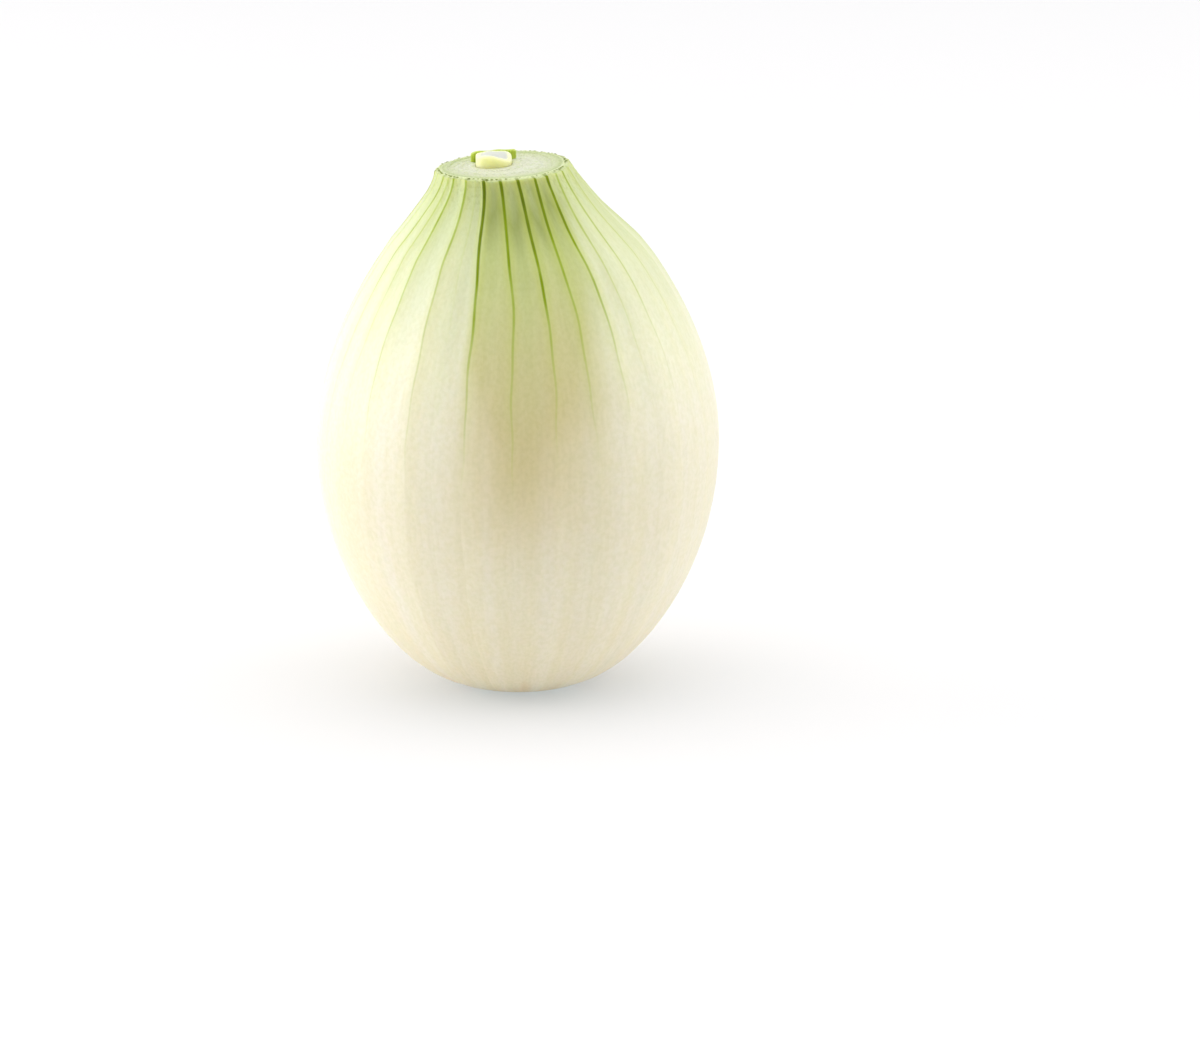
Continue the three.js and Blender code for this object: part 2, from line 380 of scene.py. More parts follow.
outer = (rim_radius - SHEATH_WIDTH)[:, None] * np.column_stack([np.sin(bearing), -np.cos(bearing)])
inner = mouth_outline(bearing, MOUTH_GAP)
span = np.linalg.norm(outer - inner, axis=1)
wave = 0.016 * np.sin(2 * bearing + 0.6) + 0.01 * np.sin(5 * bearing + 2.1) + 0.006 * np.sin(11 * bearing)
for k in range(1, CUT_RINGS + 1):
    share = k / CUT_RINGS
    place = share + wave * math.sin(math.pi * share)
    height = np.zeros(COLUMNS)
    for (edge, level), (_, before) in zip(LEAF_STEPS[1:], LEAF_STEPS):
        height += (level - before) * smooth(edge - 0.012, edge + 0.012, place)
        height -= 0.10 * np.exp(-(((place - edge) * span / 0.13) ** 2))
    height *= 1 - smooth(0.93, 1.0, share)
    add_ring(on_cut(outer + (inner - outer) * share, height), FLESH, bearing, run[-1] + 1 + 6 * share,
             depth=SHEATH_WIDTH + span * place)

for depth in (0.12, 0.5, 1.0, MOUTH_DEPTH):
    add_ring(on_cut(inner, -depth), FLESH, bearing, run[-1] + 7 + depth, depth=8)
print(len(rings), "rings in all,", 2 * COLUMNS * len(rings), "triangles")

# %% [markdown]
# Quads join each ring to the next, and one point closes each end, so the mesh has no hole. The order of a
# quad's corners makes every face look outwards.

# %% Join the rings
def join_rings(stack, first_point, last_point):
    """Points and faces of a closed stack of rings, with a point at each end."""
    count = len(stack[0])
    points = np.vstack([*stack, first_point, last_point])
    first, last = len(points) - 2, len(points) - 1
    here = np.arange(count)
    after = (here + 1) % count
    faces = [(first, b, a) for a, b in zip(here.tolist(), after.tolist())]
    for k in range(len(stack) - 1):
        low, high = k * count, (k + 1) * count
        corners = np.column_stack([low + here, low + after, high + after, high + here])
        faces.extend(map(tuple, corners.tolist()))
    top = (len(stack) - 1) * count
    faces.extend((last, top + a, top + b) for a, b in zip(here.tolist(), after.tolist()))
    return points, faces


mouth_floor = [PALE["centre"][0] - NECK_LEAN, PALE["centre"][1], CUT_HEIGHT - MOUTH_DEPTH]
points, faces = join_rings(rings, [0, 0, PLATE_DEPTH], mouth_floor)
values = {}
for key in ring_values[0]:
    joined = np.concatenate([v[key] for v in ring_values])
    values[key] = np.concatenate([joined, joined[:1], joined[-1:]])
print(len(points), "points,", len(faces), "faces")

# %% [markdown]
# ## Onion skin
# This is fresh, living leaf tissue, not the dry brown skin of a stored onion. It is moist and slightly
# translucent: light goes a few millimetres in and comes out warm, so the material has subsurface scattering.
# Its surface is a smooth waxy cuticle with an index near 1.36 and a satin gloss. The ground colour runs from
# peach at the root through ivory to yellow-green at the neck. Long cells run from root to neck, so every
# streak is drawn on a coordinate that follows the veins. A vein is a dark green thread under the cuticle, 0.3
# to 0.6 mm wide, with a soft yellow-green halo where its chlorophyll spreads.

# %% Onion skin: the ground colour
def new_material(name):
    made = bpy.data.materials.new(name)
    made.use_nodes = True
    made.node_tree.nodes.clear()
    return made, made.node_tree


skin, tree = new_material("fresh_onion_skin")
grain = add(tree, "ShaderNodeAttribute", attribute_name="grain").outputs["Vector"]
shade_and_flush_share, panel, rim, vein_mm, vein_ink = (
    add(tree, "ShaderNodeAttribute", attribute_name=key).outputs["Fac"]
    for key in ("flush_and_front_shade", "panel", "rim", "vein_mm", "vein_ink"))
place = add(tree, "ShaderNodeTexCoord").outputs["Object"]
height = add(tree, "ShaderNodeSeparateXYZ", [place]).outputs["Z"]

# Patches of more or less green reach up and down the leaf by some millimetres.
BULB_HEIGHT = 80.0  # with the leaf stubs
long_cells = add(tree, "ShaderNodeVectorMath", [grain, (1, 1, 0.12)], operation="MULTIPLY")
patches = add(tree, "ShaderNodeTexNoise", {"Vector": long_cells, "Scale": 0.16, "Detail": 2})
shift = add(tree, "ShaderNodeMath", [patches, 0.012, -0.006], operation="MULTIPLY_ADD")
level = add(tree, "ShaderNodeMath", [height, shift], operation="ADD")
level = add(tree, "ShaderNodeMath", [level, BULB_HEIGHT * MM], operation="DIVIDE")
# In both ramps the lowest stops, on the foot, are partly the skin's own pale peach and partly painted light:
# they are lightened where the belly shades the foot.
pale_ground = add(tree, "ShaderNodeValToRGB", [level], [
    (0.00, "#FBE4C4"), (0.03, "#FFF2DA"), (0.10, "#FFF5E0"), (0.23, "#FDF6E4"), (0.38, "#FAF3E0"),
    (0.55, "#F9F4E2"), (0.68, "#F3F2D8"), (0.82, "#E2E6C4"), (0.93, "#CFD8A8"), (1.0, "#C8D398"),
])
# This darker, more coloured ramp is used where the flush is. In front it is partly painted shade of the side
# that faces the tent's dim opening. At the back it is the skin's own flush.
shaded_and_flushed_ground = add(tree, "ShaderNodeValToRGB", [level], [
    (0.00, "#FBE4C4"), (0.03, "#FFF2DA"), (0.10, "#FDF3DE"), (0.23, "#F8EEDA"), (0.38, "#EDDFB8"),
    (0.55, "#E4D9AE"), (0.68, "#DDD9A8"), (0.79, "#D2D79C"), (0.86, "#C0CA86"), (0.915, "#A1AC62"),
    (0.96, "#BAC488"), (1.0, "#C0C98E"),
])
ground = add(tree, "ShaderNodeMix", [shade_and_flush_share, pale_ground, shaded_and_flushed_ground], data_type="RGBA")

# Streaks 0.6 mm wide and several times as long, a fine mottling between them, broader streaks, 3 mm wide
# and as long as the leaf, and a tone of its own for each strip between two veins, so that the belly shows
# faint panels with an edge at a vein. Each tints the ground by its share.
whole_leaf = add(tree, "ShaderNodeVectorMath", [grain, (1, 1, 0.03)], operation="MULTIPLY")
streaks = add(tree, "ShaderNodeTexNoise", {"Vector": long_cells, "Scale": 1.6, "Detail": 4})
mottle = add(tree, "ShaderNodeTexNoise", {"Vector": grain, "Scale": 1.4, "Detail": 5})
broad = add(tree, "ShaderNodeTexNoise", {"Vector": whole_leaf, "Scale": 0.3, "Detail": 1})
for pattern, share, stops in (
    (streaks, 0.3, [(0.30, "#F2F2EC"), (0.70, "#FFFFFF")]),
    (mottle, 0.35, [(0.35, "#EDEFDC"), (0.62, "#FFFFFF")]),
    (broad, 0.4, [(0.35, "#F9F8E4"), (0.62, "#FFFFFF")]),
    (panel, 0.9, [(0.0, "#FFFFFF"), (1.0, "#F3F3EA")]),
):
    tone = add(tree, "ShaderNodeValToRGB", [pattern], stops)
    ground = add(tree, "ShaderNodeMix", [share, ground, tone], data_type="RGBA", blend_type="MULTIPLY")

# Just under the cut the skin has begun to dry: it is mottled with grey-green between fine wrinkles.
crossing = add(tree, "ShaderNodeVectorMath", [grain, (0.6, 0.6, 1)], operation="MULTIPLY")
wrinkles = add(tree, "ShaderNodeTexNoise", {"Vector": crossing, "Scale": 1.5, "Detail": 4})
dried = add(tree, "ShaderNodeMapRange", [wrinkles, 0.46, 0.70, 0.0, 0.5], interpolation_type="SMOOTHSTEP")
dried = add(tree, "ShaderNodeMath", [dried, rim], operation="MULTIPLY")
ground = add(tree, "ShaderNodeMix", [dried, ground, linear("#9DAA6C")], data_type="RGBA")
print(skin.name, "ground,", len(tree.nodes), "nodes")

# %% Onion skin: the veins and the gloss
stretches = add(tree, "ShaderNodeTexNoise", {"Vector": grain, "Scale": 0.17, "Detail": 2})
uneven = add(tree, "ShaderNodeMapRange", [stretches, 0.3, 0.7, 0.8, 1.15])
vein_ink = add(tree, "ShaderNodeMath", [vein_ink, uneven], operation="MULTIPLY")

# The halo is about 1 mm wide on each side. A strong vein is wider as well as darker.
halo = add(tree, "ShaderNodeMapRange", [vein_mm, 0.0, 1.4, 1.0, 0.0], interpolation_type="SMOOTHSTEP")
halo = add(tree, "ShaderNodeMath", [halo, vein_ink], operation="MULTIPLY")
halo = add(tree, "ShaderNodeMath", [halo, 0.55], operation="MULTIPLY")
ground = add(tree, "ShaderNodeMix", [halo, ground, linear("#C0CB4E")], data_type="RGBA")
half_width = add(tree, "ShaderNodeMath", [vein_ink, 0.13, 0.09], operation="MULTIPLY_ADD")
beyond = add(tree, "ShaderNodeMath", [vein_mm, half_width], operation="SUBTRACT")
thread = add(tree, "ShaderNodeMapRange", [beyond, -0.07, 0.14, 1.0, 0.0], interpolation_type="SMOOTHSTEP")
ink_depth = add(tree, "ShaderNodeMapRange", [vein_ink, 0.0, 0.6, 0.0, 0.98])
thread = add(tree, "ShaderNodeMath", [thread, ink_depth], operation="MULTIPLY")
thread_colour = add(tree, "ShaderNodeValToRGB", [vein_ink], [
    (0.05, "#B2C22A"), (0.4, "#94AC0E"), (0.9, "#5C6E00"),
])
skin_colour = add(tree, "ShaderNodeMix", [thread, ground, thread_colour], data_type="RGBA")

# The cuticle is satin, and duller over a vein.
gloss = add(tree, "ShaderNodeMapRange", [streaks, 0.3, 0.7, 0.36, 0.48])
shine = add(tree, "ShaderNodeMapRange", [thread, 0.0, 1.0, 0.5, 0.15])
cells = add(tree, "ShaderNodeTexNoise", {"Vector": long_cells, "Scale": 4.5, "Detail": 3})
relief = add(tree, "ShaderNodeBump", {"Strength": 0.25, "Distance": 0.00012, "Height": cells})
shader = add(tree, "ShaderNodeBsdfPrincipled", {
    "Base Color": skin_colour, "Roughness": gloss, "IOR": 1.36, "Specular IOR Level": shine, "Normal": relief,
    "Subsurface Weight": 0.45, "Subsurface Radius": (1.0, 0.8, 0.5), "Subsurface Scale": 0.006,
})
add(tree, "ShaderNodeOutputMaterial", {"Surface": shader})
print(skin.name, len(tree.nodes), "nodes")

# %% [markdown]
# ## Cut flesh
# A knife leaves the leaf tissue open: wet cells a third of a millimetre across that sparkle a little, pale
# green-white, greener towards the outside, with the tight inner leaves a shade lighter. Each groove between
# two leaves is darker. The grain is a Voronoi pattern at the size of those cells.

# %% Cut flesh material
flesh, tree = new_material("cut_onion_flesh")
place = add(tree, "ShaderNodeTexCoord").outputs["Object"]
leaf_mm, vein_mm, vein_ink = (
    add(tree, "ShaderNodeAttribute", attribute_name=key).outputs["Fac"]
    for key in ("leaf_mm", "vein_mm", "vein_ink"))
tone = add(tree, "ShaderNodeMath", [leaf_mm, 7.0], operation="DIVIDE")
base = add(tree, "ShaderNodeValToRGB", [tone], [
    (0.00, "#BEC984"), (0.07, "#CFD8A4"), (0.12, "#D2DAAA"), (0.17, "#ABB87D"), (0.24, "#BCC596"),
    (0.45, "#C8CCAE"), (0.70, "#D0D3BD"), (0.95, "#D2D4BC"),
])
open_cells = add(tree, "ShaderNodeTexVoronoi", {"Vector": place, "Scale": 3.2 / MM})
cell_tone = add(tree, "ShaderNodeValToRGB", [open_cells], [(0.05, "#D6D9C4"), (0.55, "#FFFFFF")])
base = add(tree, "ShaderNodeMix", [0.8, base, cell_tone], data_type="RGBA", blend_type="MULTIPLY")
specks = add(tree, "ShaderNodeTexNoise", {"Vector": place, "Scale": 1.3 / MM, "Detail": 3})
speck_share = add(tree, "ShaderNodeMapRange", [specks, 0.54, 0.66, 0.0, 0.5], interpolation_type="SMOOTHSTEP")
base = add(tree, "ShaderNodeMix", [speck_share, base, linear("#B4C481")], data_type="RGBA")
cut_vein = add(tree, "ShaderNodeMapRange", [vein_mm, 0.12, 0.4, 1.0, 0.0], interpolation_type="SMOOTHSTEP")
cut_vein = add(tree, "ShaderNodeMath", [cut_vein, vein_ink], operation="MULTIPLY")
base = add(tree, "ShaderNodeMix", [cut_vein, base, linear("#71801E")], data_type="RGBA")
relief = add(tree, "ShaderNodeBump", {"Strength": 0.5, "Distance": 0.00012, "Height": open_cells})
shader = add(tree, "ShaderNodeBsdfPrincipled", {
    "Base Color": base, "Roughness": 0.42, "IOR": 1.38, "Normal": relief,
    "Subsurface Weight": 0.3, "Subsurface Radius": (1.0, 0.9, 0.5), "Subsurface Scale": 0.0015,
})
add(tree, "ShaderNodeOutputMaterial", {"Surface": shader})
print(flesh.name, len(tree.nodes), "nodes")

# %% [markdown]
# ## Root plate
# The root plate is the true stem: a tough, dry, tan disc. Cut through, it is matt, a little fibrous and
# darker than the leaves round it.

# %% Root plate material
plate, tree = new_material("trimmed_root_plate")
place = add(tree, "ShaderNodeTexCoord").outputs["Object"]
fibres = add(tree, "ShaderNodeTexNoise", {"Vector": place, "Scale": 0.9 / MM, "Detail": 4})
base = add(tree, "ShaderNodeValToRGB", [fibres], [(0.3, "#B08A55"), (0.55, "#D3B583"), (0.75, "#E6D3A8")])
relief = add(tree, "ShaderNodeBump", {"Strength": 0.6, "Distance": 0.0002, "Height": fibres})
shader = add(tree, "ShaderNodeBsdfPrincipled", {
    "Base Color": base, "Roughness": 0.75, "IOR": 1.45, "Normal": relief,
})
add(tree, "ShaderNodeOutputMaterial", {"Surface": shader})
print(plate.name, len(tree.nodes), "nodes")

# %% [markdown]
# ## Relief with Geometry Nodes
# The fine shape of the surface follows a rule everywhere: a vein is a low ridge, the skin has a long grain,
# it is wrinkled just under the cut where it has begun to dry, and the cut face is granular. A Geometry Nodes
# tree moves every point along its normal by the sum of these, read from the values recorded on the rings.
# Its inputs are the sizes of each, in millimetres, so that they can be tuned without touching the tree. The
# grain dies out just above the foot, so that nothing sinks below the table.

# %% Start and finish of a tree
def new_tree(name, inputs):
    """An empty Geometry Nodes tree with named inputs. Returns it, its inputs and {name: identifier}."""
    made = bpy.data.node_groups.new(name, "GeometryNodeTree")
    made.interface.new_socket("Geometry", in_out="OUTPUT", socket_type="NodeSocketGeometry")
    identifiers = {}
    for key, kind in inputs.items():
        socket = made.interface.new_socket(key, in_out="INPUT", socket_type="NodeSocket" + kind)
        identifiers[key] = socket.identifier
    return made, made.nodes.new("NodeGroupInput").outputs, identifiers


def grow(name, tree, identifiers, settings, base=None):
    """The plain mesh that a tree makes, as an object at the origin."""
    if base is None:
        base = bpy.data.objects.new(name + "_seed", bpy.data.meshes.new(name + "_seed"))
        bpy.context.scene.collection.objects.link(base)
    modifier = base.modifiers.new(name, "NODES")
    modifier.node_group = tree
    for key, value in settings.items():
        modifier[identifiers[key]] = value
    evaluated = base.evaluated_get(bpy.context.evaluated_depsgraph_get())
    mesh = bpy.data.meshes.new_from_object(evaluated)
    mesh.name = name
    bpy.data.objects.remove(base)
    mesh.polygons.foreach_set("use_smooth", [True] * len(mesh.polygons))
    made = bpy.data.objects.new(name, mesh)
    bpy.context.scene.collection.objects.link(made)
    print(name, len(mesh.vertices), "points,", len(mesh.polygons), "faces")
    return made


print("helpers:", new_tree.__name__, "and", grow.__name__)

# %% Relief tree: what it reads
tree, given, relief_inputs = new_tree("bulb_relief", {
    "Geometry": "Geometry", "Vein ridge mm": "Float", "Long grain mm": "Float", "Rim wrinkles mm": "Float",
    "Cut grain mm": "Float", "Skin": "Material", "Flesh": "Material", "Root": "Material",
})
read = {
    key: add(tree, "GeometryNodeInputNamedAttribute", [key], data_type=kind)
    for key, kind in (("vein_mm", "FLOAT"), ("vein_ink", "FLOAT"), ("region", "FLOAT"), ("rim", "FLOAT"),
                      ("grain", "FLOAT_VECTOR"))
}
is_skin = add(tree, "FunctionNodeCompare", [read["region"], 0.5], operation="LESS_THAN")
is_flesh = add(tree, "FunctionNodeCompare", [read["region"], 1.0, 0.4], operation="EQUAL")
is_root = add(tree, "FunctionNodeCompare", [read["region"], 1.5], operation="GREATER_THAN")
position = add(tree, "GeometryNodeInputPosition")
above = add(tree, "ShaderNodeSeparateXYZ", [position]).outputs["Z"]
off_foot = add(tree, "ShaderNodeMapRange", [above, 1.0 * MM, 5.0 * MM, 0.0, 1.0])
print(tree.name, "reads", list(read))

# %% Relief tree: the four kinds of relief
spread = add(tree, "ShaderNodeMath", [read["vein_mm"], 0.38], operation="DIVIDE")
spread = add(tree, "ShaderNodeMath", [spread, 2.0], operation="POWER")
profile = add(tree, "ShaderNodeMath", [0.37, spread], operation="POWER")
stretched = add(tree, "ShaderNodeVectorMath", [read["grain"], (1, 1, 0.1)], operation="MULTIPLY")
crinkle = add(tree, "ShaderNodeVectorMath", [read["grain"], (0.5, 0.5, 1)], operation="MULTIPLY")
noises = []
for vector, scale, detail in ((stretched, 0.9, 3), (crinkle, 1.5, 4), (position, 2.4 / MM, 3)):
    noise = add(tree, "ShaderNodeTexNoise", {"Vector": vector, "Scale": scale, "Detail": detail})
    noises.append(add(tree, "ShaderNodeMath", [noise, 0.5], operation="SUBTRACT"))

# Each kind is its size times everything that shapes it, and the offset is their sum.
kinds = {
    "Vein ridge mm": (profile, read["vein_ink"]), "Long grain mm": (noises[0], is_skin, off_foot),
    "Rim wrinkles mm": (noises[1], read["rim"]), "Cut grain mm": (noises[2], is_flesh),
}
total = 0.0
for size, factors in kinds.items():
    term = given[size]
    for factor in factors:
        term = add(tree, "ShaderNodeMath", [term, factor], operation="MULTIPLY")
    total = add(tree, "ShaderNodeMath", [term, total], operation="ADD")
metres = add(tree, "ShaderNodeMath", [total, MM], operation="MULTIPLY")
offset = add(tree, "ShaderNodeVectorMath", [add(tree, "GeometryNodeInputNormal"), metres], operation="SCALE")
shape = add(tree, "GeometryNodeSetPosition", {"Geometry": given["Geometry"], "Offset": offset})
shape = add(tree, "GeometryNodeRealizeInstances", [shape])
for chosen, key in ((is_skin, "Skin"), (is_flesh, "Flesh"), (is_root, "Root")):
    shape = add(tree, "GeometryNodeSetMaterial", [shape, chosen, given[key]])
add(tree, "NodeGroupOutput", [shape])
print(len(kinds), "kinds of relief,", len(tree.nodes), "nodes")

# %% Grow the bulb
plain_bulb = make_object("plain_bulb", points, faces, values, [skin, flesh, plate])
bulb = grow("onion_bulb", tree, relief_inputs, {
    "Vein ridge mm": 0.09, "Long grain mm": 0.07, "Rim wrinkles mm": 0.18, "Cut grain mm": 0.14,
    "Skin": skin, "Flesh": flesh, "Root": plate,
}, plain_bulb)
print("materials:", [m.name for m in bulb.data.materials])

# %% [markdown]
# ## The pale inner leaf
# Next to the youngest leaf the knife left a short solid stub of a leaf that hadn't opened. Its sides are
# yellow-green and glossy, and so thin that light from above glows through them. Its top is white flesh inside
# a yellow-green skin. The cut isn't level: the front edge is higher at the left and dips to the right. It is
# a stack of full ovals with a rounded top edge.

# %% Pale leaf material
pale, tree = new_material("pale_leaf_tissue")
place = add(tree, "ShaderNodeTexCoord").outputs["Object"]
edge_mm = add(tree, "ShaderNodeAttribute", attribute_name="edge_mm").outputs["Fac"]
wander = add(tree, "ShaderNodeTexNoise", {"Vector": place, "Scale": 0.7 / MM, "Detail": 3})
edge = add(tree, "ShaderNodeMath", [wander, 0.5, -0.25], operation="MULTIPLY_ADD")
edge = add(tree, "ShaderNodeMath", [edge, edge_mm], operation="ADD")
edge = add(tree, "ShaderNodeMath", [edge, 0.5], operation="ADD")
base = add(tree, "ShaderNodeValToRGB", [edge], [
    (0.20, "#FFFCBC"), (0.50, "#FAFAB2"), (0.78, "#DCDFC0"), (1.0, "#CACCC4"),
])
mottle = add(tree, "ShaderNodeValToRGB", [wander], [(0.35, "#EDEDE4"), (0.65, "#FFFFFF")])
base = add(tree, "ShaderNodeMix", [0.4, base, mottle], data_type="RGBA", blend_type="MULTIPLY")
relief = add(tree, "ShaderNodeBump", {"Strength": 0.3, "Distance": 0.0001, "Height": wander})
shader = add(tree, "ShaderNodeBsdfPrincipled", {
    "Base Color": base, "Roughness": 0.4, "IOR": 1.4, "Normal": relief,
    "Subsurface Weight": 1.0, "Subsurface Radius": (1.0, 0.95, 0.6), "Subsurface Scale": 0.003,
})
add(tree, "ShaderNodeOutputMaterial", {"Surface": shader})
print(pale.name, len(tree.nodes), "nodes")

# %% Pale leaf
LEAF_DEPTH = 1.3
PALE_FRONT, PALE_BACK = 1.8, 1.5
ROUNDING = 0.3
PALE_COLUMNS = 96
turn = np.linspace(0, 2 * math.pi, PALE_COLUMNS, endpoint=False)


def pale_ring(inset, raised):
    """An oval drawn in by inset (mm), at the height of the sloping top plus raised, or at its foot."""
    flat = oval(PALE, turn, -inset)
    across, deep = ((flat - PALE["centre"]) / (PALE["half_width"], PALE["half_depth"])).T
    top = (PALE_FRONT + PALE_BACK) / 2 - (PALE_FRONT - PALE_BACK) / 2 * deep
    top -= 0.62 * smooth(-0.35, 0.85, across) * smooth(0.8, -0.6, deep) + 0.25 * smooth(0.3, 1.0, across)
    top += 0.05 * np.sin(6 * across + 3) + 0.04 * np.sin(5 * deep)
    height = np.full(PALE_COLUMNS, -LEAF_DEPTH) if raised is None else np.minimum(top, PALE_FRONT) + raised
    return on_cut(flat, height)


pale_rings, pale_edge = [pale_ring(0, None)], [-1.0]
for share in np.linspace(0, 1, 14)[1:-1]:
    lower, upper = pale_ring(0, None), pale_ring(0, -ROUNDING)
    pale_rings.append(lower + (upper - lower) * share)
    pale_edge.append(-1.0 + 0.7 * share)
for angle in np.linspace(0, math.pi / 2, 8):
    pale_rings.append(pale_ring(ROUNDING * (1 - math.cos(angle)), -ROUNDING * (1 - math.sin(angle))))
    pale_edge.append(-0.3 + 0.3 * math.sin(angle))
for inset in np.linspace(0.4, 2.5, 13):
    dish = -0.12 * float(smooth(0.3, 1.0, inset)) + 0.03 * math.sin(6 * inset)
    pale_rings.append(pale_ring(inset, dish))
    pale_edge.append(inset - 0.3)
pale_points, pale_faces = join_rings(
    pale_rings, pale_rings[0].mean(axis=0), pale_rings[-1].mean(axis=0))
edge_values = [*np.repeat(pale_edge, PALE_COLUMNS), -1.0, 2.2]
pale_leaf = make_object("pale_leaf_stub", pale_points, pale_faces, {"edge_mm": edge_values}, [pale])
print(len(pale_faces), "faces")

# %% [markdown]
# ## The green inner leaf
# The youngest green leaf wraps round the back of the pale one as a thin wall. Its outside is deep green, with
# the fine parallel veins of a leaf, and the cut edge along its top is lighter. The mesh sweeps a narrow
# rounded section along the oval. The section closes to nothing at both ends, so the ends are round, and the
# right one is a little swollen.

# %% Green leaf material
green, tree = new_material("green_leaf_tissue")
along_mm = add(tree, "ShaderNodeAttribute", attribute_name="along_mm").outputs["Fac"]
above_mm = add(tree, "ShaderNodeAttribute", attribute_name="above_mm").outputs["Fac"]
lines = add(tree, "ShaderNodeMath", [along_mm, 12.0], operation="MULTIPLY")
lines = add(tree, "ShaderNodeMath", [lines], operation="SINE")
lines = add(tree, "ShaderNodeMapRange", [lines, -1.0, 1.0, 0.0, 1.0])
base = add(tree, "ShaderNodeMix", [lines, linear("#A3BB34"), linear("#BCCF4C")], data_type="RGBA")
top_share = add(tree, "ShaderNodeMapRange", [above_mm, -0.14, 0.0, 0.0, 1.0], interpolation_type="SMOOTHSTEP")
base = add(tree, "ShaderNodeMix", [top_share, base, linear("#C3D268")], data_type="RGBA")
relief = add(tree, "ShaderNodeBump", {"Strength": 0.35, "Distance": 0.0001, "Height": lines})
shader = add(tree, "ShaderNodeBsdfPrincipled", {
    "Base Color": base, "Roughness": 0.38, "IOR": 1.42, "Normal": relief,
    "Subsurface Weight": 0.3, "Subsurface Radius": (0.7, 1.0, 0.2), "Subsurface Scale": 0.0008,
})
add(tree, "ShaderNodeOutputMaterial", {"Surface": shader})
print(green.name, len(tree.nodes), "nodes")

# %% Green leaf
GREEN_HEIGHT = 1.5
EDGE_ROUNDING = 0.25
sweep = np.linspace(0, 1, 60)
angle = GREEN_FROM + (GREEN_TO - GREEN_FROM) * sweep
mid = GREEN_WALL / 2
middle = oval(GREEN, angle, mid)
along = np.concatenate([[0], np.cumsum(np.linalg.norm(np.diff(middle, axis=0), axis=1))])
outward = np.column_stack([np.gradient(middle[:, 1]), -np.gradient(middle[:, 0])])
outward /= np.linalg.norm(outward, axis=1)[:, None]
to_end = np.minimum(along, along[-1] - along)
half_wall = mid * np.sqrt(1 - np.clip(1 - to_end / 0.4, 0, 1) ** 2) + 1e-3
half_wall *= 1 + 0.35 * (1 - smooth(0.6, 1.6, along))
top_edge = GREEN_HEIGHT - 0.05 - 0.1 * np.sin(along * 1.1) ** 2 - 0.25 * (1 - to_end.clip(0, 0.5) / 0.5) ** 2

# The section, from its inner foot over the rounded top to its outer foot: across it (-1 to 1), the share of
# the wall's height, and how far above the rounding's start.
section = [(1.0, share, 0.0) for share in np.linspace(0, 1, 9)[:-1]]
section += [(math.cos(bend), 1.0, EDGE_ROUNDING * math.sin(bend)) for bend in np.linspace(0, math.pi, 9)]
section += [(-1.0, share, 0.0) for share in np.linspace(1, 0, 9)[1:]]
section_across, section_share, section_rise = np.array(section).T
green_rings, green_above = [], []
for k in range(len(sweep)):
    flat = middle[k] + outward[k] * (half_wall[k] * section_across)[:, None]
    wall_height = top_edge[k] - EDGE_ROUNDING + LEAF_DEPTH
    rise = -LEAF_DEPTH + section_share * wall_height + section_rise
    green_rings.append(on_cut(flat, rise))
    green_above.append(rise - top_edge[k])
green_points, green_faces = join_rings(
    green_rings, green_rings[0].mean(axis=0), green_rings[-1].mean(axis=0))
green_values = {"along_mm": [*np.repeat(along, len(section)), 0, along[-1]],
                "above_mm": [*np.concatenate(green_above), -1, -1]}
green_leaf = make_object("green_leaf_stub", green_points, green_faces, green_values, [green])
print("wall", round(along[-1], 1), "mm long")

# %% [markdown]
# ## Cut vein ends
# Every vein of the outer leaves ends at the cut as a small dark dot, about 0.8 mm from the next. Geometry
# Nodes makes them: points on a ring, each pushed a little off it by a seeded random value, a flat bead on
# each point, and then real mesh. Each bead is sunk in the cut face, which tips to the left, and more at the
# back than in front.

# %% Vein ends: the finish
vein_end_tissue, tree = new_material("cut_vein_ends")
place = add(tree, "ShaderNodeTexCoord").outputs["Object"]
mottle = add(tree, "ShaderNodeTexNoise", {"Vector": place, "Scale": 0.9 / MM, "Detail": 2})
base = add(tree, "ShaderNodeValToRGB", [mottle], [(0.35, "#77873A"), (0.65, "#A0AE62")])
shader = add(tree, "ShaderNodeBsdfPrincipled", {"Base Color": base, "Roughness": 0.4, "IOR": 1.4})
add(tree, "ShaderNodeOutputMaterial", {"Surface": shader})
print(vein_end_tissue.name, len(tree.nodes), "nodes")

# %% Vein ends: the tree
tree, given, ring_inputs = new_tree("ring_of_beads", {
    "Count": "Int", "Radius": "Float", "Scatter": "Float", "Bead": "Float", "Flatness": "Float",
    "Centre": "Vector", "Slope": "Float", "Twist": "Float", "Seed": "Int", "Finish": "Material",
})
index = add(tree, "GeometryNodeInputIndex")
share = add(tree, "ShaderNodeMath", [index, given["Count"]], operation="DIVIDE")
turned = add(tree, "ShaderNodeMath", [share, 2 * math.pi], operation="MULTIPLY")
loose = add(tree, "FunctionNodeRandomValue", {"Min": -0.5, "Max": 0.5, "Seed": given["Seed"]})
off_ring = add(tree, "ShaderNodeMath", [loose, given["Scatter"], given["Radius"]], operation="MULTIPLY_ADD")
spot = []
for direction in ("COSINE", "SINE"):
    share = add(tree, "ShaderNodeMath", [turned], operation=direction)
    spot.append(add(tree, "ShaderNodeMath", [off_ring, share], operation="MULTIPLY"))
twist = add(tree, "ShaderNodeMath", [spot[1], given["Twist"], 1.0], operation="MULTIPLY_ADD")
climb = add(tree, "ShaderNodeMath", [spot[0], given["Slope"]], operation="MULTIPLY")
climb = add(tree, "ShaderNodeMath", [climb, twist], operation="MULTIPLY")
spot = add(tree, "ShaderNodeCombineXYZ", [*spot, climb])
dots = add(tree, "GeometryNodePoints", {"Count": given["Count"], "Position": spot})
bead = add(tree, "GeometryNodeMeshIcoSphere", {"Radius": given["Bead"], "Subdivisions": 2})
